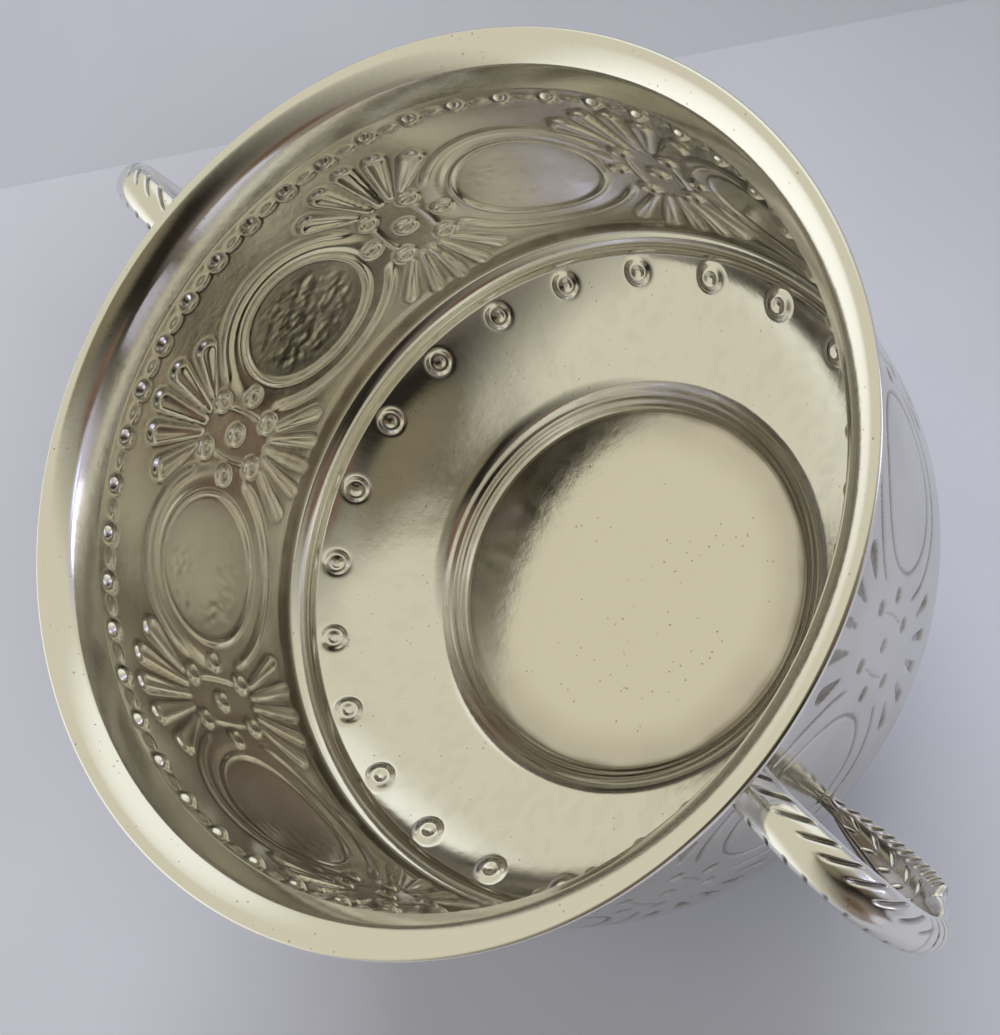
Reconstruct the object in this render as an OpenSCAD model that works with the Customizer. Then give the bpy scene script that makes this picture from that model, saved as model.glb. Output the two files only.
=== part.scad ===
// Two-handled silver caudle cup: a thin raised bowl with a flared lip, a base disc
// let into its bottom, a low foot ring under it and a pair of cast scroll handles.
// Millimetres. The cup stands on z = 0, with its axis on z and its handles along x.

/* [Bowl] */
// Outside diameter of the flared lip
rim_d = 88; // [84:0.5:96]
// Height of the lip above the table
cup_h = 51; // [49:0.5:58]
// Thickness of the silver sheet
sheet_t = 0.8; // [0.6:0.05:1.1]
// How far the lip bends out beyond the neck
flare_w = 3.8; // [2.5:0.1:5]
// Height of the outward bend of the lip
flare_h = 4.3; // [3.5:0.1:5]
// How far the wall leans in from the neck down to the crease, where the lower bowl starts
wall_taper = 2.5; // [1.5:0.1:5]
// Height of the crease above the table
crease_h = 13.6; // [11:0.2:17]
// How far the wall swells beyond a straight line
wall_swell = 0.4; // [0:0.1:1.5]
// How far the lower bowl sags below a straight line
bowl_sag = 1.4; // [0.8:0.1:2.4]
// How far the ridge round the crease stands out inside
crease_ridge = 0.4; // [0.2:0.1:0.6]
// Width of that ridge
ridge_w = 2.6; // [2:0.2:3.2]
// Inside diameter of the edge where the lower bowl steps down to the base
step_d = 46.2; // [44:0.2:52]
// Height of that edge above the table
step_h = 4.9; // [4.2:0.1:6]
// How far to each side that edge is rounded
edge_round = 1; // [0.5:0.1:1.4]

/* [Foot] */
// Diameter of the base disc
disc_d = 41; // [36:0.2:42]
// Thickness of the base disc
disc_t = 0.8; // [0.6:0.05:1.1]
// Height of the base disc's upper face above the table
disc_h = 2.2; // [1.8:0.1:2.6]
// Outside diameter of the foot ring on the table
foot_d = 51; // [49:0.5:56]
// Outside diameter of the foot ring's waist, under the bowl
waist_d = 48.4; // [47.6:0.2:49]
// Height of the plain band round the bottom of the foot ring
foot_band_h = 1; // [0.6:0.1:1.4]

/* [Handles] */
// Distance over both handles
handle_span = 120.4; // [114:0.5:130]
// Height of the highest point of the handle
handle_crest_h = 48.7; // [46:0.1:50]
// Height of the outermost point of the handle
handle_tip_h = 37.5; // [34:0.5:40]
// Height where the upper end is soldered to the wall
upper_root_h = 42.2; // [40:0.2:43]
// Height where the lower end is soldered to the wall
lower_root_h = 17.2; // [16:0.2:22]
// Thickness of the handle
strap_t = 2.6; // [2:0.1:3.2]
// Width of the upper end where it is soldered on
root_w = 3.2; // [2.6:0.1:4]
// Width of the upper arm
strap_w = 4.4; // [3.6:0.1:5]
// Width of the handle round its curled end
tip_w = 3.5; // [3:0.1:4.2]
// Greatest width of the leaf on the lower arm
leaf_w = 5.7; // [4.6:0.1:6.6]
// Width of the leaf's narrow end, where it is soldered on
leaf_end_w = 1.6; // [1.4:0.1:2.4]
// Thickness of the leaf
leaf_t = 2; // [1.6:0.1:2.6]
// Depth of the notches cut into both borders
notch_depth = 0.2; // [0:0.05:0.4]
// Number of notches along each arm
notch_count = 12; // [8:1:14]
// Depth of the channel along the middle of the leaf, on both faces
leaf_channel = 0.5; // [0:0.1:0.6]
// Depth of the cross cuts round the curled end
cross_cut = 0.3; // [0:0.05:0.5]

/* [Fits] */
// Film of solder between two pieces
solder_gap = 0.05; // [0.02:0.01:0.1]

/* [Hidden] */
$fn = 96;
silver = "#c8c6ba";
shadow_silver = "#b5b2a4";
arc_steps = 10;
lip_steps = 6;
section_sides = 16;
notch_steps = 4;
sweep_steps = notch_count * notch_steps;
// How far a handle runs into the wall before the wall's face trims it
root_sink = 2.5;
// Share of the handle's thickness that stands outside its centre line
crown_share = 0.6;
// Above 1, the lower bowl is deepest in its outer half
sag_skew = 1.3;

rim_r = rim_d / 2;
lip_r = sheet_t / 2;
neck_r = rim_r - lip_r - flare_w;
neck_h = cup_h - flare_h;
collar_r = disc_d / 2 + solder_gap;
collar_h = disc_h - disc_t;
crease = [neck_r - wall_taper, crease_h];
neck = [neck_r, neck_h];
step_edge = [step_d / 2, step_h];
disc_edge = [collar_r, disc_h];

// A point on the straight line from p to q
function between(p, q, t) = p + (q - p) * t;

// The part from first to last of a shallow bow from p to q, whose middle stands to the right
// of the straight line by rise; a skew above 1 moves the highest point towards q
function bow(p, q, rise, first = 0, last = 1, skew = 1) =
    let (side = [q.y - p.y, p.x - q.x] / norm(q - p))
    [for (i = [0:arc_steps])
        let (t = first + (last - first) * i / arc_steps,
             u = pow(t, skew))
        between(p, q, t) + side * rise * 4 * u * (1 - u)];

// A rounded corner from p to q
function rounded(p, corner, q) = [for (i = [0:lip_steps])
    let (t = i / lip_steps)
    between(between(p, corner, t), between(corner, q, t), t)];

// All but the first and the last point of a list
function inside_of(list) = [for (i = [1:len(list) - 2]) list[i]];

// The lip bends outward in a quarter of an ellipse
flare = [for (i = [1:arc_steps])
    let (a = 90 * i / arc_steps)
    [neck_r + flare_w * (1 - cos(a)), neck_h + flare_h * sin(a)]];

// The sheet before its ridges are raised, from the bottom of the collar up to the lip
plain_wall = bow(crease, neck, wall_swell);
plain_face = concat(
    [[collar_r, collar_h], disc_edge],
    bow(step_edge, crease, bowl_sag, skew = sag_skew),
    [for (i = [1:arc_steps]) plain_wall[i]],
    flare);

// Inner face of the sheet, with the ridge round the crease and the rounded edge over the base
slope_end = between(step_edge, disc_edge, edge_round / norm(disc_edge - step_edge));
lower_bowl = bow(step_edge, crease, bowl_sag,
    edge_round / norm(crease - step_edge), 1 - ridge_w / 2 / norm(crease - step_edge), sag_skew);
wall = bow(crease, neck, wall_swell, ridge_w / 2 / norm(neck - crease), 1);
inner_face = concat(
    [[collar_r, collar_h], disc_edge],
    inside_of(rounded(slope_end, step_edge, lower_bowl[0])),
    lower_bowl,
    inside_of(bow(lower_bowl[arc_steps], wall[0], -crease_ridge)),
    wall,
    flare);

// Direction across the sheet, outward, at point i of a face drawn upward
function outward(face, i) =
    let (last = len(face) - 1,
         along = face[min(i + 1, last)] - face[max(i - 1, 0)])
    [along.y, -along.x] / norm(along);

outer_face = [for (i = [0:len(plain_face) - 1])
    plain_face[i] + outward(plain_face, i) * sheet_t];

// The edge of the lip is rounded
lip_edge = [for (i = [1:lip_steps - 1])
    let (a = 90 - 180 * i / lip_steps)
    [rim_r - lip_r, cup_h - lip_r] + lip_r * [cos(a), sin(a)]];

function reversed(list) = [for (i = [len(list) - 1:-1:0]) list[i]];

// Everything inside the bowl's outer face, which the foot and the handles stay clear of
module bowl_space(clear_r, clear_h) {
    translate([0, 0, -clear_h]) rotate_extrude()
        polygon(concat(
            [[0, collar_h]],
            [for (p = outer_face) [p.x + clear_r, p.y]],
            [[rim_r + clear_r, cup_h], [0, cup_h]]));
}

module bowl() {
    color(silver) rotate_extrude()
        polygon(concat(inner_face, lip_edge, reversed(outer_face)));
}

module base_disc() {
    color(shadow_silver) translate([0, 0, collar_h]) cylinder(d = disc_d, h = disc_t);
}

// A low ring with a plain band at the table and a hollow waist under the bowl
module foot_ring() {
    foot_r = foot_d / 2;
    waist_r = waist_d / 2;
    bore_r = collar_r + sheet_t + solder_gap;
    waist = [for (i = [0:arc_steps])
        let (a = 90 * i / arc_steps)
        [foot_r - (foot_r - waist_r) * sin(a), foot_band_h + (step_h - foot_band_h) * (1 - cos(a))]];
    color(silver) difference() {
        rotate_extrude()
            polygon(concat([[bore_r, 0], [foot_r, 0]], waist, [[bore_r, step_h]]));
        bowl_space(solder_gap, solder_gap);
    }
}

// A point on the cubic curve with these four controls
function cubic(c, t) =
    let (s = 1 - t)
    c[0] * s * s * s + 3 * c[1] * s * s * t + 3 * c[2] * s * t * t + c[3] * t * t * t;

function curve(c) = [for (i = [0:sweep_steps]) cubic(c, i / sweep_steps)];

// Outer radius of the wall at a height
wall_outside = [for (p = outer_face) if (p.y > crease_h) [p.y, p.x]];
function wall_r(h) = lookup(h, wall_outside);

// Centre line of a handle: an arch from the neck out to the tip, then a curve back to the foot of the wall
tip_x = handle_span / 2 - strap_t * crown_share;
crest_pull = (handle_crest_h - strap_t * crown_share - (upper_root_h + handle_tip_h) / 8) * 4 / 3;
upper_x = wall_r(upper_root_h) - root_sink;
lower_x = wall_r(lower_root_h) - root_sink;
arm = tip_x - wall_r(handle_tip_h);
upper_arm = curve([
    [upper_x, upper_root_h],
    [upper_x + arm * 0.35, crest_pull],
    [tip_x, crest_pull],
    [tip_x, handle_tip_h]]);
lower_arm = curve([
    [tip_x, handle_tip_h],
    [tip_x, handle_tip_h - arm * 0.65],
    [tip_x - arm * 0.42, lower_root_h + arm * 0.09],
    [lower_x, lower_root_h]]);
handle_line = concat(upper_arm, [for (i = [1:sweep_steps]) lower_arm[i]]);
rings = len(handle_line);

// The leaf runs between these shares of the handle's length, and tapers from its broad start
leaf_start = 0.71;
leaf_end = 0.95;
function leaf_taper(t) =
    let (s = min(1, (t - leaf_start) / (leaf_end - leaf_start)))
    pow(cos(90 * s), 0.75);

// Width and thickness of a handle along its length; the leaf starts in a step behind the curled end
function handle_w(t) = t > leaf_start
    ? leaf_end_w + (leaf_w - leaf_end_w) * leaf_taper(t)
    : lookup(t, [[0, root_w], [0.1, strap_w], [0.36, strap_w], [0.52, tip_w]]);
function handle_t(t) = lookup(t, [[0.55, strap_t], [0.75, leaf_t]]);

// Share of the leaf's channel along the handle
function channel_share(t) = lookup(t, [[leaf_start, 0], [0.74, 1], [0.85, 1], [0.92, 0]]);

// The curled end between its first and last cross cut
function curled(t) = t > 0.47 && t < 0.67;

// One cross-section: a crowned outer face over a flatter inner face
function handle_ring(i) =
    let (t = i / (rings - 1),
         out = -outward(handle_line, i),
         cut = i % notch_steps == notch_steps / 2 ? 1 : 0,
         w = handle_w(t) - 2 * notch_depth * cut)
    [for (k = [0:section_sides - 1])
        let (a = 360 * k / section_sides,
             share = a < 180 ? crown_share : 1 - crown_share,
             hollow = leaf_channel * channel_share(t) * pow(sin(a), 8)
                 + (curled(t) && a > 0 && a < 180 ? cross_cut * cut : 0),
             rise = sin(a) * handle_t(t) * share - sign(sin(a)) * hollow,
             p = handle_line[i] + out * rise)
        [p.x, cos(a) * w / 2, p.y]];

module handle() {
    points = [for (i = [0:rings - 1]) each handle_ring(i)];
    sides = [for (i = [0:rings - 2], k = [0:section_sides - 1])
        let (a = i * section_sides + k,
             b = i * section_sides + (k + 1) % section_sides)
        each [[a, b + section_sides, b], [a, a + section_sides, b + section_sides]]];
    first = [for (k = [0:section_sides - 1]) k];
    last = [for (k = [section_sides - 1:-1:0]) (rings - 1) * section_sides + k];
    color(silver) difference() {
        polyhedron(points, concat(sides, [first, last]));
        bowl_space(solder_gap, 0);
    }
}

module handle_right() {
    handle();
}

module handle_left() {
    rotate([0, 0, 180]) handle();
}

bowl();
base_disc();
foot_ring();
handle_right();
handle_left();
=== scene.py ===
"""Looks of the two-handled silver caudle cup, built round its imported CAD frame.

Lengths are millimetres until a mesh is made. The cup stands on z = 0, its axis is z and its
handles lie along x.
"""
import math

import bpy
import numpy as np
from mathutils import Matrix, Vector


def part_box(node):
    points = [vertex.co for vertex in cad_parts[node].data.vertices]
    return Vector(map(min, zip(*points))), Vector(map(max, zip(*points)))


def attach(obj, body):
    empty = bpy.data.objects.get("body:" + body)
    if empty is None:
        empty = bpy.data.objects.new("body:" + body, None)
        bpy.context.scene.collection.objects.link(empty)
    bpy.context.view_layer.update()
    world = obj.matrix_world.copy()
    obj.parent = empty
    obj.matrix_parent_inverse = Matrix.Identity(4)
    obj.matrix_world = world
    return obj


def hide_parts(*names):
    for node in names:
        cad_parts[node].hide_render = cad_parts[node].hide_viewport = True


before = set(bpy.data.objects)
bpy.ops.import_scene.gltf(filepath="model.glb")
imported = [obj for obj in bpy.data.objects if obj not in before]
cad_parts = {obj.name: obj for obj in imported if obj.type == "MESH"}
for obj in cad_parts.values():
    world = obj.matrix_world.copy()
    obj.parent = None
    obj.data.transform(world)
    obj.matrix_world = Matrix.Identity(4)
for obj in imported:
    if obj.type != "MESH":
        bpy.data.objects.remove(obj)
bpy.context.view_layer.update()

MM = 0.001
SEED = 11

# Bowl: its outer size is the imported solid's, and its curves follow the reflections in the photo
RIM_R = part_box("bowl")[1].x / MM
CUP_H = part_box("bowl")[1].z / MM
SHEET_T = 0.8
WALL_T = 0.6
FLARE_W = 4.05
FLARE_H = 4.6
# Lean of the flare from the upright, in degrees, at shares of its run
FLARE_LEAN = ((0, 22), (0.46, 26), (0.55, 47), (0.865, 60), (1, 88))
WALL_TAPER = 1.7
WALL_SWELL = 0.5
CREASE_H = 13.6
CREASE_RIDGE = 0.55
STEP_R = 23.1
STEP_H = 4.9
EDGE_ROUND = 1.0
# The lower bowl's slope in degrees at the step and under the ridge, and where that ridge starts
STEP_SLOPE = 18.0
RIDGE_SLOPE = 40.0
RIDGE_R = 36.3
# Rough lengths of the flare and of the bend at the crease, which set how many rows they have
FLARE_RUN = 5.5
BEND_RUN = 2.2
SOLDER_GAP = 0.05

# Base disc and foot ring
DISC_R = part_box("base_disc")[1].x / MM
DISC_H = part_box("base_disc")[1].z / MM
DISC_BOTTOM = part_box("base_disc")[0].z / MM
# Share of the disc's radius where its rows start
DISC_MIDDLE = 0.004
# Darkening towards the disc's rim, a thin band of dirt at the edge inside a broader painted shade:
# strength, and the shares of the radius where it starts and is full
DISC_DIRT_AND_SHADE = ((0.35, (0.72, 0.98)), (0.5, (0.955, 1.0)))
# Unevenness of that dirt and shade: share of the radius, number of waves round the disc and their shift
DIRT_AND_SHADE_WAVES = ((0.012, 3, 1), (0.006, 7, 2), (0.004, 17, 0))
FOOT_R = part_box("foot_ring")[1].x / MM
WAIST_R = 24.2
FOOT_BAND_H = 1.0
FOOT_BAND_EDGE = 0.15
COLLAR_R = DISC_R + SOLDER_GAP

# Handles
HANDLE_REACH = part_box("handle_right")[1].x / MM
HANDLE_CREST_H = 48.7
HANDLE_TIP_H = 37.5
UPPER_ROOT_H = 42.2
LOWER_ROOT_H = 17.2
# Control points of the centre line, as shares of the handle's arm
ARCH_OUT = 0.35
TIP_DOWN = 0.65
SWEEP_BACK = 0.42
SWEEP_UP = 0.09
STRAP_T = 2.6
LEAF_T = 2.0
CROWN_SHARE = 0.6
ROOT_W = 3.2
STRAP_W = 4.4
TIP_W = 3.5
LEAF_W = 5.7
LEAF_END_W = 1.6
# Power of the leaf's outline: the smaller it is, the longer the leaf stays broad
LEAF_POWER = 0.75
# Places along a handle from 0 to 1: the strap's four widths, its thinning, and the leaf
STRAP_PLACES = (0, 0.1, 0.36, 0.52)
THINNING = (0.55, 0.75)
LEAF_START = 0.71
LEAF_END = 0.95
LEAF_SHOULDER = 0.006
# How deep the centre line starts inside the wall, and how far the roots reach into its outer face
ROOT_SINK = 2.5
ROOT_LAP = 0.2

# Rows of cuts on the handles: pitch, slant towards the edges, and a cut's half width and depth
SLITS = (2.8, 4.5, (0.55, 0.4))
NOTCHES = (2.4, 1.0, (0.4, 0.45))
CURL_CUTS = (1.5, 0.0, (0.3, 0.36))
BORDER_CUTS = (1.3, -1.6, (0.34, 0.42))
VEINS = (2.6, 3.2, (0.36, 0.36))
# Where they fade in or out, as shares of the half width
SLIT_START = (0.15, 0.4)
SLIT_END = (0.8, 0.95)
NOTCH_START = (0.72, 0.88)
BORDER_START = (0.6, 0.72)
# Lines along the leaf and the band of its veins: place and half width as such shares, and strength
RAILS = ((0.56, (0.09, 0.36)), (0.8, (0.08, 0.3)))
VEIN_MID = 0.28
VEIN_BAND = (0.26, 1.0)
# Width of the change from one edge's cuts to the other's, and places where rows end and start
FAR_HALF = (-0.1, 0.1)
ARCH_END = (0.45, 0.5)
LEAF_CUT_RUN = 0.02
# How fast cuts deepen from a handle's edges, and the depth at which they are fully toned
CUT_DEEPENING = 2.5
CUT_TONED_DEPTH = 0.3

# Chased frieze: eight roundels with a palmette between each two
REPEATS = 8
FRIEZE_R = 38.9
FRIEZE_MID_H = 28.35
HALF_REPEAT = math.pi * FRIEZE_R / REPEATS
# A roundel's line and outer ring, as radii before it is stretched round the cup and squeezed in height
ROUNDEL_R = 8.0
ROUNDEL_RING_R = 10.8
ROUNDEL_STRETCH = 1.05
ROUNDEL_SQUEEZE = 0.95
# Half width and height of its line, its ring and the swell between them
ROUNDEL_LINE = (0.42, 0.32)
ROUNDEL_RING = (0.6, 0.3)
ROUNDEL_SWELL = (1.7, 0.26)
SWELL_SHIFT = 0.2
# Heights from the frieze's middle line over which the ring and the swell fade in
RING_FADE = (3.4, 6.0)
SWELL_FADE = (-4.0, 5.0)
# Punched bosses: shares of the radius for the rim and the dot, and the dot's share of the height
BOSS_RIM_PLACE = 0.6
BOSS_RIM_HALF = 0.42
BOSS_DOT_HALF = 0.34
BOSS_DOT_RISE = 0.75
BOSS_RISE = 0.42
PALMETTE_BOSSES = ((0, 0), (4.7, 0), (2.7, 4.05), (2.7, -4.05))
PALMETTE_BOSS_R = 1.35
# Petals: root, end and half width of the end
UPPER_PETALS = (
    ((0, 5.6), (0, 13.0), 1.2),
    ((1.35, 5.6), (3.4, 12.2), 1.3),
    ((2.9, 5.8), (6.6, 9.9), 1.45),
)
LOWER_PETALS = (
    ((0, -5.6), (0, -12.2), 1.0),
    ((1.3, -5.7), (3.2, -11.8), 1.0),
    ((2.7, -5.8), (6.3, -10.4), 1.0),
)
PETAL_ROOT_HALF = 0.42
PETAL_RISE = 0.46
PETAL_DIMPLE = 0.7
PETAL_BRIM = 1.25
# Bowed bars between a palmette's bosses: half width and height, place, bow and ends
BAR = (0.32, 0.26)
BAR_X = 2.55
BAR_BOW = 0.25
BAR_BOW_H = 3.0
BAR_END = (2.4, 2.9)
# Beads and reels under the neck
BEADS = 48
BEAD_H = 44.6
BEAD_R = 1.05
BEAD_RISE = 0.75
REEL = (0.8, 0.34)
REEL_LENGTHENING = 0.55
# Bosses on the lower bowl
BOSSES = 24
BOSS_ROW_R = 34.5
BOSS_R = 1.6
# Line above the crease, and lines and painted shade below the step's edge: distance, half width and
# strength
FOOT_LINE_UP = 2.4
FOOT_LINE = (0.5, 0.14)
STEP_LINES = ((1.7, (0.4, 0.12)), (2.7, (0.35, 0.09)))
STEP_SHADE_DOWN = 2.0
STEP_SHADE = (1.8, 0.4)
# Painted shade along the foot of the wall, where the crease mirrors the dark side of the room
CREASE_SHADE_UP = 1.3
CREASE_SHADE = (1.8, 0.95)
# Lengths over which the wall's and the lower bowl's finish fade at their edges
WALL_FADE = 0.6
STEP_FADE = 2.0
RIDGE_FADE = 0.8

# Hammered fields in the roundels: their edge, and size and stretch of the lumps
FIELD_EDGE = (5.0, 7.0)
FIELD_PATCH = 4.0
FIELD_PATCH_RANGE = (-1.8, 0.6)
FINE_LUMPS = (0.6, 1.2)
COARSE_LUMPS = (1.4, 1.1)
COARSE_SHARE = 0.8
HAMMER_RISE = 0.007
# Slow waves left by raising and polishing
INNER_WAVE = 9.0
OUTER_WAVE = 6.0
WAVE_RISE = 0.006
# How far the reliefs of the inside, its bosses and the outside are softened
SOFTNESS = 0.7
BOSS_SOFTNESS = 0.8
MARK_SOFTNESS = 0.6
# Shares of the inner relief's width and height that the tool marks have on the outside
TOOL_SHARE = 0.6
MARK_DEPTH = 0.8
BEAD_MARK = 0.6
BOSS_MARK = 0.5

# Toning: hollows close to the relief and wide round it, as size, full depth and strength
CLOSE_HOLLOW = (1.6, 0.14, 0.25)
WIDE_HOLLOW = (6.0, 0.2, 0.5)
# How much the bosses, the beads and the hammering count in it
BOSS_SHADE = 0.6
BEAD_SHADE = 0.3
HAMMER_SHADE = 2.0
BOWL_HOLLOWS = 0.4
# Dullness of the chased wall, which polishing doesn't reach, and how much its raised parts lose
WALL_TONING = 0.14
WORN_RISE = 0.4
WORN_SHINE = 0.1
# Patchy bloom on the lower bowl
BLOOM = 0.07
BLOOM_PATCH = 2.5
BLOOM_RANGE = (-0.5, 1.5)
# Dullness of the plain outer face, and depths between which its marks are toned
OUTSIDE_TONING = 0.36
MARK_TONED = (0.03, 0.12)

# Mesh density
COLUMNS = REPEATS * 160
ROW_STEP = 0.19
COLUMN_SIZE = 2 * math.pi * FRIEZE_R / COLUMNS
HANDLE_STEPS = 260
HANDLE_SIDES = 112
TURNED_COLUMNS = 256
LIP_STEPS = 24
DISC_ROWS = 90
WAIST_STEPS = 60
SEAT_STEPS = 12

# Corners of the bowl's profile as (radius, height)
NECK_R = RIM_R - SHEET_T / 2 - FLARE_W
NECK_H = CUP_H - FLARE_H
NECK = np.array([NECK_R, NECK_H])
CREASE = np.array([NECK_R - WALL_TAPER, CREASE_H])
STEP_EDGE = np.array([STEP_R, STEP_H])
DISC_EDGE = np.array([COLLAR_R, DISC_H])
COLLAR_FOOT = np.array([[COLLAR_R, DISC_BOTTOM]])
SLOPE_RUN = np.linalg.norm(STEP_EDGE - DISC_EDGE)
WALL_RUN = np.linalg.norm(NECK - CREASE)

# Angle of each column of the bowl's mesh
ANGLE = np.arange(COLUMNS)[None, :] * 2 * math.pi / COLUMNS

random = np.random.default_rng(SEED)


def direction(azimuth, elevation):
    az = math.radians(azimuth)
    el = math.radians(elevation)
    return Vector((math.cos(el) * math.cos(az), math.cos(el) * math.sin(az), math.sin(el)))


# Profiles

def bow(start, end, rise, length, first=0.0, last=1.0):
    """Points on a part of a shallow bow whose middle stands to the right of the straight line by rise."""
    t = np.linspace(first, last, max(4, round(length / ROW_STEP)) + 1)[:, None]
    along = end - start
    side = np.array([along[1], -along[0]]) / np.linalg.norm(along)
    return start + along * t + side * rise * 4 * t * (1 - t)


def rounded(start, corner, end, length):
    """A rounded corner from start to end."""
    t = np.linspace(0, 1, round(length / ROW_STEP) + 1)[:, None]
    return start * (1 - t) ** 2 + corner * 2 * t * (1 - t) + end * t ** 2


def flare():
    """The flare: a first lean above the neck, a broader slope, then a bend out to the top of the lip."""
    shares, leans = zip(*FLARE_LEAN)
    lean = np.radians(np.interp(np.linspace(0, 1, round(FLARE_RUN / ROW_STEP) + 1), shares, leans))
    steps = np.stack([np.sin(lean), np.cos(lean)], 1)
    run = np.vstack([[0, 0], np.cumsum((steps[1:] + steps[:-1]) / 2, axis=0)])
    return NECK + run * FLARE_H / run[-1, 1]


def lower_bowl():
    """The lower bowl from the step up to the ridge, on a slope that steepens."""
    r = np.linspace(STEP_R, RIDGE_R, round((RIDGE_R - STEP_R) / ROW_STEP) + 1)
    steepening = ((r - STEP_R) / (RIDGE_R - STEP_R)) ** 3
    slope = np.tan(np.radians(STEP_SLOPE + (RIDGE_SLOPE - STEP_SLOPE) * steepening))
    rise = np.concatenate([[0], np.cumsum((slope[1:] + slope[:-1]) / 2 * np.diff(r))])
    return np.stack([r, STEP_H + rise], 1)


def plain_face():
    """The sheet before its ridges are raised, from the bottom of the collar to the lip.

    Its rows are (radius, height).
    """
    slope = bow(DISC_EDGE, STEP_EDGE, 0, SLOPE_RUN)
    lower = lower_bowl()
    bend = bow(lower[-1], CREASE, 0, BEND_RUN)
    wall = bow(CREASE, NECK, WALL_SWELL, WALL_RUN)
    return np.vstack([COLLAR_FOOT, slope, lower[1:], bend[1:], wall[1:], flare()[1:]])


def inner_face():
    """The inner face, with the ridge round the crease and the rounded edge over the base."""
    slope = bow(DISC_EDGE, STEP_EDGE, 0, SLOPE_RUN - EDGE_ROUND, 0, 1 - EDGE_ROUND / SLOPE_RUN)
    lower = lower_bowl()[round(EDGE_ROUND / ROW_STEP):]
    wall = bow(CREASE, NECK, WALL_SWELL, WALL_RUN)
    edge = rounded(slope[-1], STEP_EDGE, lower[0], 2 * EDGE_ROUND)
    ridge_rows = bow(lower[-1], wall[0], -CREASE_RIDGE, BEND_RUN)
    return np.vstack([COLLAR_FOOT, slope, edge[1:-1], lower, ridge_rows[1:-1], wall, flare()[1:]])


def cavity_normals(face):
    """Directions into the cup at each row of a face."""
    along = np.gradient(face, axis=0)
    normal = np.stack([-along[:, 1], along[:, 0]], 1)
    return normal / np.linalg.norm(normal, axis=1)[:, None]


INNER = inner_face()
PLAIN = plain_face()
# Below the flare the sheet is thinner than at the lip
THICKNESS = np.interp(PLAIN[:, 1], (NECK_H, CUP_H), (WALL_T, SHEET_T))
OUTER = PLAIN - cavity_normals(PLAIN) * THICKNESS[:, None]


def wall_outer_radius(height):
    on_wall = OUTER[:, 1] > CREASE_H
    return np.interp(height, OUTER[on_wall, 1], OUTER[on_wall, 0])


# Relief

def ridge(distance, line, share=1.0):
    """A soft raised line: line is its half width and height, and share narrows it."""
    half_width, height = line
    u = np.clip(np.abs(distance) / (half_width * share), 0, 1)
    return height * (1 - u * u) ** 2


def dome(distance, radius, height):
    u = np.clip(distance / radius, 0, 1)
    return height * np.sqrt(1 - u * u)


def fade(value, low, high):
    """0 below low, 1 above high and smooth between."""
    t = np.clip((value - low) / (high - low), 0, 1)
    return t * t * (3 - 2 * t)


def ring_and_dot(distance, radius):
    """A punched boss: a soft round rim with a dot in its middle."""
    rim = ridge(distance - radius * BOSS_RIM_PLACE, (radius * BOSS_RIM_HALF, BOSS_RISE))
    dot = ridge(distance, (radius * BOSS_DOT_HALF, BOSS_RISE * BOSS_DOT_RISE))
    return np.maximum(rim, dot)


def lobe(x, y, root, tip, root_half, tip_half):
    """Distance from a tapering lobe's middle line, as a share of its half width, and the place along it."""
    axis = np.array(tip) - np.array(root)
    length = np.linalg.norm(axis)
    axis = axis / length
    along = (x - root[0]) * axis[0] + (y - root[1]) * axis[1]
    place = np.clip(along / length, 0, 1)
    near_x = root[0] + axis[0] * place * length
    near_y = root[1] + axis[1] * place * length
    half = root_half + (tip_half - root_half) * place
    return np.hypot(x - near_x, y - near_y) / half, place


def petal(x, y, root, tip, root_half, tip_half):
    """A petal that widens and rises to a round end, dimpled along its middle."""
    across, place = lobe(x, y, root, tip, root_half, tip_half)
    a = np.clip(across, 0, 1)
    return PETAL_RISE * (1 - a ** 4) * (PETAL_DIMPLE + PETAL_BRIM * a * a) * (0.5 + 0.5 * place)


def from_nearest(count):
    """Each column's angle from the nearest of so many even places round the cup."""
    pitch = 2 * math.pi / count
    return (ANGLE + pitch / 2) % pitch - pitch / 2


def mirrored_x(x, half_width):
    return half_width - np.abs(x)


def line_share(inside):
    """Share of its full width that a raised line has on the inside or the outside."""
    return 1.0 if inside else TOOL_SHARE


def frieze_place(height):
    """Distances along and above the frieze from the middle of the nearest roundel."""
    return from_nearest(REPEATS) * FRIEZE_R, height - FRIEZE_MID_H


def from_roundel(x, y):
    """Distance from a roundel's middle, before it is stretched and squeezed."""
    return np.hypot(x / ROUNDEL_STRETCH, y / ROUNDEL_SQUEEZE)


def roundel(x, y, inside):
    """A line round the field, inside a broad soft ring that is open towards the palmettes."""
    share = line_share(inside)
    distance = from_roundel(x, y)
    line = ridge(distance - ROUNDEL_R, ROUNDEL_LINE, share)
    ring = ridge(distance - ROUNDEL_RING_R, ROUNDEL_RING, share) * fade(np.abs(y), *RING_FADE)
    if not inside:
        return np.maximum(line, ring)
    swell_r = (ROUNDEL_R + ROUNDEL_RING_R) / 2 + SWELL_SHIFT
    swell = ridge(distance - swell_r, ROUNDEL_SWELL) * fade(y, *SWELL_FADE)
    return np.maximum.reduce([line, ring, swell])


def palmette(x, y, inside):
    """Half of a palmette, on the side where x is positive; outside, its petals show by their ends."""
    share = line_share(inside)
    parts = [ring_and_dot(np.hypot(x - px, y - py), PALMETTE_BOSS_R * share) for px, py in PALMETTE_BOSSES]
    for root, tip, half in UPPER_PETALS + LOWER_PETALS:
        start = np.array(root) if inside else (np.array(root) + np.array(tip)) / 2
        parts.append(petal(x, y, start, tip, PETAL_ROOT_HALF * share, half * share))
    bar_x = BAR_X + BAR_BOW * (1 - (y / BAR_BOW_H) ** 2)
    bar = ridge(x - bar_x, BAR, share) * (1 - fade(np.abs(y), *BAR_END))
    return np.maximum.reduce(parts + [bar])


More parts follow.
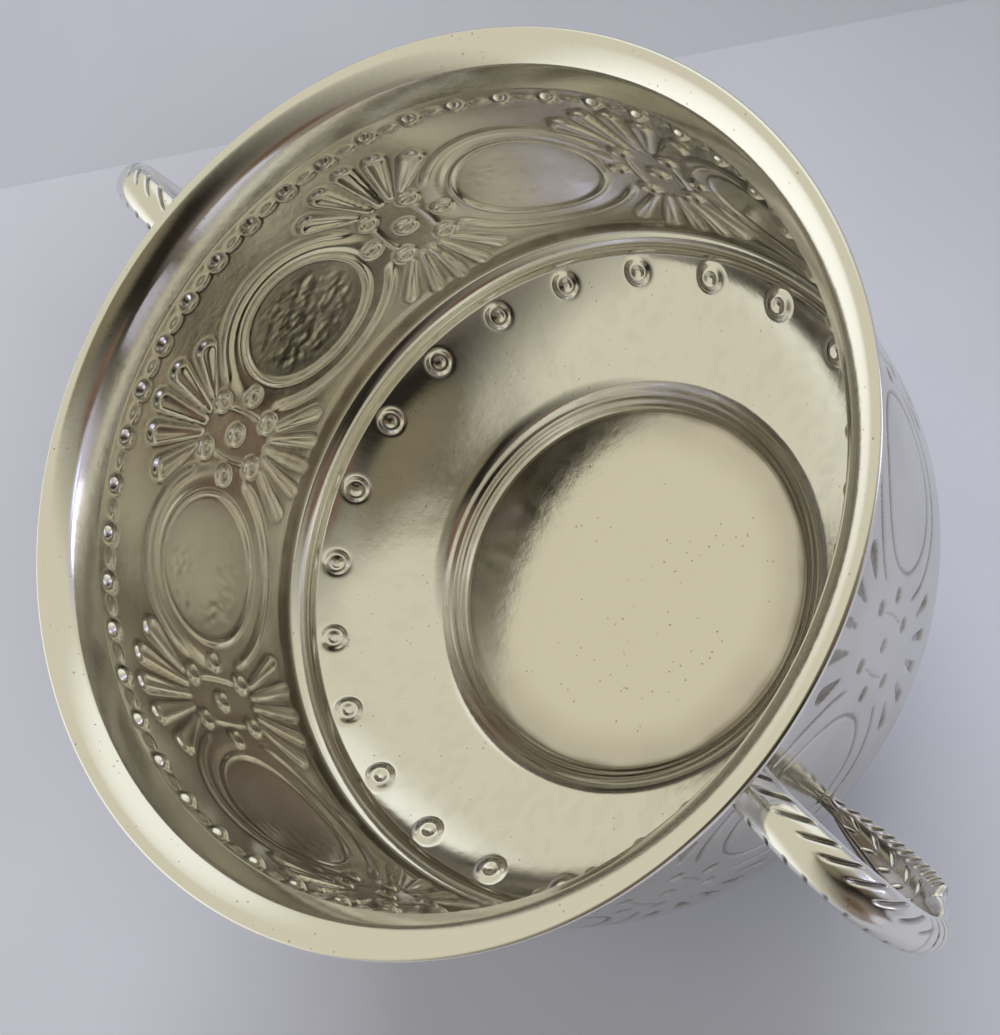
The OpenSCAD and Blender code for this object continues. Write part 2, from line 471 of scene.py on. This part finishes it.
def frieze(height, inside):
    """Heights of the wall's ornament at the given heights above the table."""
    x, y = frieze_place(height)
    return np.maximum(roundel(x, y, inside), palmette(mirrored_x(x, HALF_REPEAT), y, inside))


def bead_row(height):
    """Beads and reels under the neck."""
    pitch = 2 * math.pi / BEADS
    x = from_nearest(BEADS) * NECK_R
    y = height - BEAD_H
    bead = dome(np.hypot(x, y), BEAD_R, BEAD_RISE)
    gap_x = mirrored_x(x, pitch * NECK_R / 2)
    reel = ridge(np.hypot(gap_x * REEL_LENGTHENING, y), REEL)
    return np.maximum(bead, reel)


def run_along(rows):
    return np.concatenate([[0], np.cumsum(np.linalg.norm(np.diff(rows, axis=0), axis=1))])


def boss_row(rows):
    """Heights of the bosses on the lower bowl, over the rows of a face."""
    run = run_along(rows)
    on_bowl = (rows[:, 1] < CREASE_H) & (rows[:, 0] > STEP_R)
    middle = np.argmin(np.where(on_bowl, np.abs(rows[:, 0] - BOSS_ROW_R), np.inf))
    pitch = 2 * math.pi / BOSSES
    x = (ANGLE % pitch - pitch / 2) * BOSS_ROW_R
    return on_bowl[:, None] * ring_and_dot(np.hypot(x, (run - run[middle])[:, None]), BOSS_R)


def smooth_noise(rows, size, stretch=1.0):
    """Even noise that closes round the cup: lumps of about the given size, drawn out round the cup."""
    rough = np.fft.rfft2(random.standard_normal((rows, COLUMNS)))
    fy = np.fft.fftfreq(rows, ROW_STEP)[:, None]
    fx = np.fft.rfftfreq(COLUMNS, COLUMN_SIZE)[None, :]
    rough *= np.exp(-((fx * stretch) ** 2 + fy ** 2) * size ** 2)
    noise = np.fft.irfft2(rough, (rows, COLUMNS))
    return noise / noise.std()


def blurred(field, size):
    spectrum = np.fft.rfft2(field)
    fy = np.fft.fftfreq(field.shape[0], ROW_STEP)[:, None]
    fx = np.fft.rfftfreq(field.shape[1], COLUMN_SIZE)[None, :]
    return np.fft.irfft2(spectrum * np.exp(-(fx ** 2 + fy ** 2) * size ** 2), field.shape)


def hollows(field, size, full_depth, strength):
    """How strongly each place lies lower than what is round it."""
    return strength * np.clip((blurred(field, size) - field) / full_depth, 0, 1)


def inner_relief():
    """Heights of the chasing over the inner face, and its darkening: tarnish, bloom and dullness, with
    painted shade along the crease and the step.
    """
    rows = len(INNER)
    height = INNER[:, 1][:, None]
    radius = INNER[:, 0][:, None]
    above_wall = fade(height, NECK_H - WALL_FADE / 2, NECK_H + WALL_FADE / 2)
    on_wall = fade(height, CREASE_H, CREASE_H + WALL_FADE) * (1 - above_wall)
    on_bowl = fade(radius, STEP_R, STEP_R + STEP_FADE) * (1 - fade(radius, RIDGE_R - RIDGE_FADE, RIDGE_R))
    run = run_along(INNER)[:, None]
    edge_run = run - run[np.argmin(np.linalg.norm(INNER - STEP_EDGE, axis=1))]

    foot_line = ridge(height - (CREASE_H + FOOT_LINE_UP), FOOT_LINE)
    beads = on_wall * bead_row(height)
    chased = on_wall * np.maximum(frieze(height, inside=True), foot_line)
    patches = fade(smooth_noise(rows, FIELD_PATCH), *FIELD_PATCH_RANGE)
    field = (1 - fade(from_roundel(*frieze_place(height)), *FIELD_EDGE)) * patches * on_wall
    lumps = smooth_noise(rows, *FINE_LUMPS) + COARSE_SHARE * smooth_noise(rows, *COARSE_LUMPS)
    hammered = field * lumps * HAMMER_RISE
    bosses = blurred(boss_row(INNER), BOSS_SOFTNESS)
    lines = sum(ridge(edge_run + down, line) for down, line in STEP_LINES)
    raised = blurred(np.maximum(chased, beads) + hammered + bosses + lines, SOFTNESS)
    waves = (on_wall + on_bowl) * smooth_noise(rows, INNER_WAVE) * WAVE_RISE

    shaded = chased + bosses * BOSS_SHADE + beads * BEAD_SHADE + hammered * HAMMER_SHADE
    hollow = hollows(shaded, *CLOSE_HOLLOW) + hollows(shaded, *WIDE_HOLLOW)
    dull = WALL_TONING - WORN_SHINE * np.clip(chased / WORN_RISE, 0, 1)
    # Painted shade along the foot of the wall, where the crease mirrors the dark side of the room
    crease_shade = ridge(height - (CREASE_H + CREASE_SHADE_UP), CREASE_SHADE)
    bloom = on_bowl * BLOOM * fade(smooth_noise(rows, BLOOM_PATCH), *BLOOM_RANGE)
    # Painted shade on the step down to the disc, which also roughens it
    step_shade = ridge(edge_run + STEP_SHADE_DOWN, STEP_SHADE)
    # Darkening: tarnish and bloom, plus the painted shade along the crease and the step
    toning_and_shade = hollow * (on_wall + on_bowl * BOWL_HOLLOWS) + on_wall * dull + crease_shade + bloom + step_shade
    return raised + waves, np.clip(toning_and_shade, 0, 1)


def outer_relief():
    """Depths of the tool marks on the outer face, and their toning."""
    height = PLAIN[:, 1][:, None]
    on_wall = (height > CREASE_H) & (height <= NECK_H)
    marks = on_wall * np.maximum(frieze(height, inside=False), bead_row(height) * BEAD_MARK)
    depth = blurred(marks * MARK_DEPTH + boss_row(PLAIN) * BOSS_MARK, MARK_SOFTNESS)
    waves = on_wall * smooth_noise(len(PLAIN), OUTER_WAVE) * WAVE_RISE
    return depth + waves, np.maximum(fade(depth, *MARK_TONED), OUTSIDE_TONING * on_wall)


# Meshes

def ring_mesh(name, rings, closed=False, toning_and_shade=None):
    """A smooth mesh over closed rings of points; the ends are capped, or joined where closed is true."""
    rows, columns, _ = rings.shape
    mesh = bpy.data.meshes.new(name)
    i = np.arange(rows if closed else rows - 1)[:, None]
    j = np.arange(columns)[None, :]
    next_i = (i + 1) % rows
    next_j = (j + 1) % columns
    corners = [i * columns + j, i * columns + next_j, next_i * columns + next_j, next_i * columns + j]
    quads = np.stack(corners, -1).reshape(-1, 4)
    caps = [] if closed else [np.arange(columns)[::-1], (rows - 1) * columns + np.arange(columns)]
    loops = np.concatenate([quads.ravel(), *caps])
    sizes = np.concatenate([np.full(len(quads), 4), [len(cap) for cap in caps]]).astype(int)
    starts = np.concatenate([[0], np.cumsum(sizes)[:-1]])
    mesh.vertices.add(rows * columns)
    mesh.vertices.foreach_set("co", (rings.reshape(-1, 3) * MM).astype(np.float32).ravel())
    mesh.loops.add(len(loops))
    mesh.loops.foreach_set("vertex_index", loops.astype(np.int32))
    mesh.polygons.add(len(sizes))
    mesh.polygons.foreach_set("loop_start", starts.astype(np.int32))
    mesh.update(calc_edges=True)
    mesh.validate()
    mesh.shade_smooth()
    # The attribute carries tarnish and, on the bowl and the disc, painted shade
    attribute = mesh.attributes.new("toning_and_shade", "FLOAT", "POINT")
    values = np.zeros(rows * columns) if toning_and_shade is None else toning_and_shade
    attribute.data.foreach_set("value", values.astype(np.float32).ravel())
    piece = bpy.data.objects.new(name, mesh)
    bpy.context.scene.collection.objects.link(piece)
    return piece


def revolved(profile, columns):
    """Rings of points from a profile of (radius, height) rows."""
    angle = np.arange(columns) * 2 * math.pi / columns
    r = profile[:, 0][:, None]
    z = np.repeat(profile[:, 1][:, None], columns, 1)
    return np.stack([r * np.cos(angle), r * np.sin(angle), z], -1)


def place_piece(piece, node, material):
    piece.data.materials.append(material)
    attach(piece, "root")
    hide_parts(node)


def bowl_piece():
    """The bowl: its raised inner face, the rounded lip and the outer face with its tool marks."""
    def face(rows, normals, shift):
        r = rows[:, 0][:, None] + normals[:, 0][:, None] * shift
        z = rows[:, 1][:, None] + normals[:, 1][:, None] * shift
        return np.stack([r * np.cos(ANGLE), r * np.sin(ANGLE), z], -1)

    raised, inner_toning_and_shade = inner_relief()
    sunk, outer_toning = outer_relief()
    inside = face(INNER, cavity_normals(INNER), raised)
    outside = face(OUTER, cavity_normals(PLAIN), sunk)[::-1]
    lip_r = SHEET_T / 2
    top_r = INNER[-1, 0]
    a = np.linspace(math.pi / 2, -math.pi / 2, LIP_STEPS)[1:-1]
    lip = np.stack([top_r + (RIM_R - top_r) * np.cos(a), CUP_H - lip_r + lip_r * np.sin(a)], 1)
    rings = np.concatenate([inside, revolved(lip, COLUMNS), outside])
    toning_and_shade = np.concatenate([inner_toning_and_shade, np.zeros((len(lip), COLUMNS)), outer_toning[::-1]])
    return ring_mesh("bowl_chased", rings, closed=True, toning_and_shade=toning_and_shade)


def disc_piece():
    """The let-in disc, with dirt and painted shade along its rim."""
    t = np.linspace(DISC_MIDDLE, 1, DISC_ROWS)
    top = np.stack([DISC_R * t, np.full(DISC_ROWS, DISC_H)], 1)
    under = top[::-1] - [0, DISC_H - DISC_BOTTOM]
    rings = revolved(np.vstack([top, under]), TURNED_COLUMNS)
    angle = np.arange(TURNED_COLUMNS)[None, :] * 2 * math.pi / TURNED_COLUMNS
    uneven = sum(share * np.sin(angle * waves + shift) for share, waves, shift in DIRT_AND_SHADE_WAVES)
    # Dirt at the very rim, inside a broader painted shade towards it
    rim_dirt_and_shade = sum(strength * fade(t[:, None] + uneven, *edge) for strength, edge in DISC_DIRT_AND_SHADE)
    toning_and_shade = np.vstack([rim_dirt_and_shade, np.zeros((DISC_ROWS, TURNED_COLUMNS))])
    return ring_mesh("base_disc_worn", rings, toning_and_shade=toning_and_shade)


def foot_piece():
    """A low collet foot: a plain band at the table under a hollow waist."""
    def under_bowl(radius):
        below = OUTER[:, 1] < CREASE_H
        return np.interp(radius, OUTER[below, 0], OUTER[below, 1]) - 2 * SOLDER_GAP

    a = np.linspace(0, math.pi / 2, WAIST_STEPS)
    bore_r = COLLAR_R + SHEET_T + SOLDER_GAP
    waist_h = FOOT_BAND_H + (STEP_H - FOOT_BAND_H) * (1 - np.cos(a))
    waist = np.stack([FOOT_R - (FOOT_R - WAIST_R) * np.sin(a), waist_h], 1)
    waist = waist[waist[:, 1] < under_bowl(waist[:, 0])]
    seat_r = np.linspace(waist[-1, 0], bore_r, SEAT_STEPS)[1:]
    seat = np.stack([seat_r, under_bowl(seat_r)], 1)
    bottom = np.array([[bore_r, 0.0], [FOOT_R - FOOT_BAND_EDGE, 0.0], [FOOT_R, FOOT_BAND_EDGE]])
    rings = revolved(np.vstack([bottom, waist, seat]), TURNED_COLUMNS)
    return ring_mesh("foot_collet", rings, closed=True)


# Handles

def cubic(controls, t):
    c = np.array(controls, float)
    s = 1 - t
    weights = np.stack([s ** 3, 3 * s * s * t, 3 * s * t * t, t ** 3], 1)
    return weights @ c


def handle_line(steps):
    """Centre line of a handle in x and z.

    It arches from the neck to the tip, then comes back to the foot of the wall.
    """
    tip_x = HANDLE_REACH - STRAP_T * CROWN_SHARE
    # Height of the arch's two middle controls that brings its crest where it belongs
    pull = (HANDLE_CREST_H - STRAP_T * CROWN_SHARE - (UPPER_ROOT_H + HANDLE_TIP_H) / 8) * 4 / 3
    upper_x = wall_outer_radius(UPPER_ROOT_H) - ROOT_SINK
    lower_x = wall_outer_radius(LOWER_ROOT_H) - ROOT_SINK
    arm = tip_x - wall_outer_radius(HANDLE_TIP_H)
    tip = (tip_x, HANDLE_TIP_H)
    t = np.linspace(0, 1, steps + 1)
    upper = cubic([(upper_x, UPPER_ROOT_H), (upper_x + arm * ARCH_OUT, pull), (tip_x, pull), tip], t)
    lower = cubic([tip, (tip_x, HANDLE_TIP_H - arm * TIP_DOWN),
                   (tip_x - arm * SWEEP_BACK, LOWER_ROOT_H + arm * SWEEP_UP), (lower_x, LOWER_ROOT_H)], t)
    return np.vstack([upper, lower[1:]])


def handle_width(t):
    strap = np.interp(t, STRAP_PLACES, (ROOT_W, STRAP_W, STRAP_W, TIP_W))
    share = np.clip((t - LEAF_START) / (LEAF_END - LEAF_START), 0, 1)
    leaf = LEAF_END_W + (LEAF_W - LEAF_END_W) * np.cos(share * math.pi / 2) ** LEAF_POWER
    return strap + (leaf - strap) * fade(t, LEAF_START - LEAF_SHOULDER, LEAF_START + LEAF_SHOULDER)


def cuts(run, out, row):
    """Depths of a row of cuts at a run along a handle and a share out from its middle."""
    pitch, slant, line = row
    return ridge((run - out * slant) % pitch - pitch / 2, line)


def handle_chasing(t, across, length):
    """Depths of the cuts on a handle's outer and inner face at a place t along it and a share across it."""
    run = t * length
    out = np.abs(across)
    far = fade(across, *FAR_HALF)
    leaf = fade(t, LEAF_START, LEAF_START + LEAF_CUT_RUN)
    arch = 1 - fade(t, *ARCH_END)
    slit = cuts(run, out, SLITS) * fade(out, *SLIT_START) * (1 - fade(out, *SLIT_END))
    notch = cuts(run, out, NOTCHES) * fade(out, *NOTCH_START)
    strap = arch * (far * slit + (1 - far) * notch)
    curl = cuts(run, out, CURL_CUTS) * (1 - arch) * (1 - leaf)
    border = cuts(run, out, BORDER_CUTS) * fade(out, *BORDER_START)
    rails = sum(ridge(out - place, line) for place, line in RAILS)
    veins = cuts(run, out, VEINS) * ridge(out - VEIN_MID, VEIN_BAND)
    foliage = leaf * np.maximum(veins, far * border + (1 - far) * rails)
    return strap + curl + foliage, foliage


def handle_piece(name, side):
    """A handle on the side where x has the sign of side."""
    line = handle_line(HANDLE_STEPS)
    along = np.gradient(line, axis=0)
    out = np.stack([-along[:, 1], along[:, 0]], 1)
    out /= np.linalg.norm(out, axis=1)[:, None]
    t = np.linspace(0, 1, len(line))[:, None]
    length = np.linalg.norm(np.diff(line, axis=0), axis=1).sum()
    a = np.arange(HANDLE_SIDES)[None, :] * 2 * math.pi / HANDLE_SIDES
    across = np.cos(a)
    crown = np.sin(a) > 0
    thickness = np.interp(t, THINNING, (STRAP_T, LEAF_T))
    outer_cut, inner_cut = handle_chasing(t, across, length)
    cut = np.where(crown, outer_cut, inner_cut) * np.clip(np.abs(np.sin(a)) * CUT_DEEPENING, 0, 1)
    uncut = np.sin(a) * thickness * np.where(crown, CROWN_SHARE, 1 - CROWN_SHARE)
    rise = uncut - np.sign(np.sin(a)) * cut
    x = line[:, 0][:, None] + out[:, 0][:, None] * rise
    z = line[:, 1][:, None] + out[:, 1][:, None] * rise
    y = across * handle_width(t) / 2
    seat = wall_outer_radius(z) - ROOT_LAP
    x = np.maximum(x, np.sqrt(np.maximum(seat ** 2 - y ** 2, 0)))
    rings = np.stack([x * side, y, z], -1)
    toning_and_shade = np.clip(cut / CUT_TONED_DEPTH, 0, 1)
    if side < 0:
        rings, toning_and_shade = rings[:, ::-1], toning_and_shade[:, ::-1]
    return ring_mesh(name, rings, toning_and_shade=toning_and_shade)


# Shader nodes

def add_node(tree, kind, **inputs):
    node = tree.nodes.new(kind)
    for key, value in inputs.items():
        node.inputs[key].default_value = value
    return node


def colour_mix(tree, first, second):
    mix = tree.nodes.new("ShaderNodeMix")
    mix.data_type = "RGBA"
    mix.inputs["A"].default_value = (*first, 1)
    mix.inputs["B"].default_value = (*second, 1)
    return mix


def noise_texture(tree, place, **inputs):
    noise = add_node(tree, "ShaderNodeTexNoise", **inputs)
    tree.links.new(place, noise.inputs["Vector"])
    return noise.outputs["Fac"]


def mapped(tree, value, start, end, low=0.0, high=1.0, smooth=False):
    """A socket that runs from low to high as value runs from start to end."""
    share = tree.nodes.new("ShaderNodeMapRange")
    share.interpolation_type = "SMOOTHSTEP" if smooth else "LINEAR"
    limits = {"From Min": start, "From Max": end, "To Min": low, "To Max": high}
    for key, limit in limits.items():
        share.inputs[key].default_value = limit
    tree.links.new(value, share.inputs["Value"])
    return share.outputs["Result"]


def combined(tree, operation, first, second):
    """The result of an operation on two sockets."""
    result = tree.nodes.new("ShaderNodeMath")
    result.operation = operation
    tree.links.new(first, result.inputs[0])
    tree.links.new(second, result.inputs[1])
    return result.outputs["Value"]


def distance_towards(tree, place, towards):
    """How far a place or direction lies towards another direction."""
    dot = tree.nodes.new("ShaderNodeVectorMath")
    dot.operation = "DOT_PRODUCT"
    dot.inputs[1].default_value = towards
    tree.links.new(place, dot.inputs[0])
    return dot.outputs["Value"]


# Materials

# How much full toning adds to the roughness, and the depth of the wear marks in metres
TONED_ROUGHNESS = 0.1
WEAR_DEPTH = 0.0002

# Paper: two tints of its mottle, and painted shade that darkens it from one distance in metres to another
PAPER_TINTS = ((0.30, 0.30, 0.335), (0.32, 0.32, 0.355))
BACKING_TINTS = ((0.265, 0.267, 0.30), (0.28, 0.283, 0.315))
PAPER_ROUGHNESS = 0.7
SHADE_SIDE = direction(95, 0)
SHADE_START = 0.030
SHADE_END = 0.085
FLOOR_SHADE = 0.26


def silver_material(name, colour, tarnish, roughness, grain, pits):
    """Silver with fine wear marks, small pits and a dark bloom in its hollows, and painted shade where a
    mesh's attribute carries it.
    """
    material = bpy.data.materials.new(name)
    material.use_nodes = True
    tree = material.node_tree
    link = tree.links.new
    shader = tree.nodes["Principled BSDF"]
    shader.inputs["Metallic"].default_value = 1.0
    place = tree.nodes.new("ShaderNodeTexCoord").outputs["Object"]

    toned_and_shaded = tree.nodes.new("ShaderNodeAttribute")
    toned_and_shaded.attribute_name = "toning_and_shade"
    stain = noise_texture(tree, place, Scale=120.0, Detail=5.0)
    patchy = mapped(tree, stain, start=0.35, end=0.75, low=0.55, high=1.0)
    amount = combined(tree, "MULTIPLY", toned_and_shaded.outputs["Fac"], patchy)

    speck = add_node(tree, "ShaderNodeTexVoronoi", Scale=1000.0)
    link(place, speck.inputs["Vector"])
    pit = mapped(tree, speck.outputs["Distance"], start=0.15, end=0.05, high=pits)
    chance = noise_texture(tree, place, Scale=260.0, Detail=2.0)
    few = mapped(tree, chance, start=0.48, end=0.60)
    spots = combined(tree, "MULTIPLY", pit, few)

    tint = colour_mix(tree, colour, tarnish)
    link(combined(tree, "MAXIMUM", amount, spots), tint.inputs["Factor"])
    link(tint.outputs["Result"], shader.inputs["Base Color"])

    wear = noise_texture(tree, place, Scale=900.0, Detail=6.0, Roughness=0.65)
    gloss = mapped(tree, wear, start=0.3, end=0.7, low=roughness[0], high=roughness[1])
    dulled = tree.nodes.new("ShaderNodeMath")
    dulled.operation = "MULTIPLY_ADD"
    dulled.inputs[1].default_value = TONED_ROUGHNESS
    link(amount, dulled.inputs[0])
    link(gloss, dulled.inputs[2])
    link(dulled.outputs["Value"], shader.inputs["Roughness"])

    bump = add_node(tree, "ShaderNodeBump", Strength=grain, Distance=WEAR_DEPTH)
    link(wear, bump.inputs["Height"])
    link(bump.outputs["Normal"], shader.inputs["Normal"])
    return material


def floor_material(name, first, second):
    """Pale lavender paper with a faint mottle, and painted shade that darkens it towards its far right."""
    material = bpy.data.materials.new(name)
    material.use_nodes = True
    tree = material.node_tree
    link = tree.links.new
    shader = tree.nodes["Principled BSDF"]
    shader.inputs["Roughness"].default_value = PAPER_ROUGHNESS
    place = tree.nodes.new("ShaderNodeTexCoord").outputs["Object"]
    tint = colour_mix(tree, first, second)
    link(noise_texture(tree, place, Scale=60.0, Detail=3.0), tint.inputs["Factor"])
    # Painted shade: the paper darkens towards one side
    far = distance_towards(tree, place, SHADE_SIDE)
    shade_share = mapped(tree, far, SHADE_START, SHADE_END, high=FLOOR_SHADE, smooth=True)
    shaded = colour_mix(tree, first, (0, 0, 0))
    link(tint.outputs["Result"], shaded.inputs["A"])
    link(shade_share, shaded.inputs["Factor"])
    link(shaded.outputs["Result"], shader.inputs["Base Color"])
    return material


# Stage

# The room that the silver mirrors: cream on the far side, dark where the photographer stands
FAR_SIDE = direction(172, 0)
FAR_CREAM = (0.645, 0.61, 0.48)
NEAR_DARK = (0.020, 0.016, 0.012)
# Cosines of the angle from the far side where it is fully dark and fully cream
ROOM_EDGES = (-0.96, -0.1)
# Other areas in it: azimuth, elevation, inner and outer half angle, colour
ROOM_AREAS = (
    (325, 12, 5, 45, (0.23, 0.19, 0.16)),
    (10, 76, 5, 17, (0.19, 0.165, 0.105)),
    (31, 42, 4, 15, (0.17, 0.105, 0.075)),
    (321, 29, 5, 16, (0.135, 0.085, 0.055)),
    (338, 0, 9, 17, (0.58, 0.57, 0.63)),
    (10, 0, 7, 13, (0.44, 0.42, 0.47)),
    (56, 14, 10, 28, (0.54, 0.51, 0.60)),
    (60, 2, 4, 12, (2.2, 2.05, 2.3)),
    (53, 20, 2, 8, (1.2, 1.25, 1.8)),
    (121, 18, 12, 36, (0.92, 0.92, 0.83)),
    (232, 0, 4, 46, (1.10, 1.09, 1.01)),
)

# Soft lamps, in metres
LAMP_W = 2.9
LAMP_H = 1.7
LAMP_DISTANCE = 4.0
LAMP_COLOUR = (0.90, 0.94, 1.0)

# The sheet under the cup, in metres: its far edge, and how far the surface beyond it lies below
FLOOR_SIZE = 6.0
SHEET_AZIMUTH = 132.7
SHEET_EDGE = direction(SHEET_AZIMUTH, 0) * 0.0657
SHEET_STEP = 0.0002

# Camera fitted to the photograph
CAMERA_RIGHT = Vector((0.6184, 0.6367, -0.4607))
CAMERA_UP = Vector((-0.6009, 0.7609, 0.2450))
CAMERA_BACK = Vector((0.5065, 0.1254, 0.8531))
CAMERA_PLACE = Vector((99.2, 24.4, 200.65))
SENSOR_W = 36.0
FOCAL_LENGTH = 68.95


def level_way(tree, way):
    """A direction turned level."""
    flat = tree.nodes.new("ShaderNodeVectorMath")
    flat.operation = "MULTIPLY"
    flat.inputs[1].default_value = (1, 1, 0)
    tree.links.new(way, flat.inputs[0])
    unit = tree.nodes.new("ShaderNodeVectorMath")
    unit.operation = "NORMALIZE"
    tree.links.new(flat.outputs["Vector"], unit.inputs[0])
    return unit.outputs["Vector"]


def studio_world():
    """The room as broad areas of colour, each painted over the ones before it."""
    world = bpy.data.worlds.new("room")
    world.use_nodes = True
    tree = world.node_tree
    link = tree.links.new
    way = tree.nodes.new("ShaderNodeTexCoord").outputs["Generated"]
    room = colour_mix(tree, NEAR_DARK, FAR_CREAM)
    far = distance_towards(tree, level_way(tree, way), FAR_SIDE)
    link(mapped(tree, far, *ROOM_EDGES), room.inputs["Factor"])
    for azimuth, elevation, inner, outer, colour in ROOM_AREAS:
        edges = [math.cos(math.radians(angle)) for angle in (outer, inner)]
        near = distance_towards(tree, way, direction(azimuth, elevation))
        area = colour_mix(tree, colour, colour)
        link(mapped(tree, near, *edges, smooth=True), area.inputs["Factor"])
        link(room.outputs["Result"], area.inputs["A"])
        room = area
    link(room.outputs["Result"], tree.nodes["Background"].inputs["Color"])
    bpy.context.scene.world = world


def soft_lamp(name, azimuth, elevation, energy):
    lamp = bpy.data.lights.new(name, "AREA")
    lamp.shape = "RECTANGLE"
    lamp.size = LAMP_W
    lamp.size_y = LAMP_H
    lamp.energy = energy
    lamp.color = LAMP_COLOUR
    holder = bpy.data.objects.new(name, lamp)
    holder.visible_glossy = False
    holder.location = direction(azimuth, elevation) * LAMP_DISTANCE
    holder.rotation_euler = holder.location.to_track_quat("Z", "Y").to_euler()
    bpy.context.scene.collection.objects.link(holder)


def floor_piece(name, centre, tints):
    turn = (0, 0, math.radians(SHEET_AZIMUTH))
    bpy.ops.mesh.primitive_plane_add(size=FLOOR_SIZE, location=centre, rotation=turn)
    bpy.ops.object.transform_apply()
    floor = bpy.context.object
    floor.name = name
    floor.data.materials.append(floor_material(name, *tints))


def paper_floor():
    """The sheet that the cup stands on, and the slightly darker surface that shows past its far edge."""
    middle = SHEET_EDGE - SHEET_EDGE.normalized() * FLOOR_SIZE / 2
    floor_piece("paper", middle, PAPER_TINTS)
    floor_piece("backing", (0, 0, -SHEET_STEP), BACKING_TINTS)


def photo_camera():
    """The photograph's view: from above, leaning over one handle, with the camera rolled."""
    lens = bpy.data.cameras.new("camera")
    lens.sensor_width = SENSOR_W
    lens.lens = FOCAL_LENGTH
    camera = bpy.data.objects.new("camera", lens)
    turn = Matrix((CAMERA_RIGHT, CAMERA_UP, CAMERA_BACK)).transposed()
    camera.matrix_world = Matrix.Translation(CAMERA_PLACE * MM) @ turn.to_4x4()
    bpy.context.scene.collection.objects.link(camera)
    bpy.context.scene.camera = camera


bpy.context.scene.view_settings.view_transform = "Standard"
polished = silver_material(
    "polished_silver", colour=(0.91, 0.90, 0.85), tarnish=(0.20, 0.16, 0.12),
    roughness=(0.08, 0.13), grain=0.05, pits=0.6)
worn = silver_material(
    "worn_silver", colour=(0.88, 0.86, 0.79), tarnish=(0.17, 0.13, 0.09),
    roughness=(0.05, 0.11), grain=0.05, pits=0.8)
cast = silver_material(
    "cast_silver", colour=(0.89, 0.88, 0.84), tarnish=(0.09, 0.07, 0.055),
    roughness=(0.10, 0.19), grain=0.08, pits=0.5)
place_piece(bowl_piece(), "bowl", polished)
place_piece(disc_piece(), "base_disc", worn)
place_piece(foot_piece(), "foot_ring", polished)
place_piece(handle_piece("handle_right_chased", 1), "handle_right", cast)
place_piece(handle_piece("handle_left_chased", -1), "handle_left", cast)
paper_floor()
studio_world()
soft_lamp("window", azimuth=127, elevation=14, energy=600.0)
soft_lamp("window_side", azimuth=15, elevation=46, energy=128.0)
photo_camera()
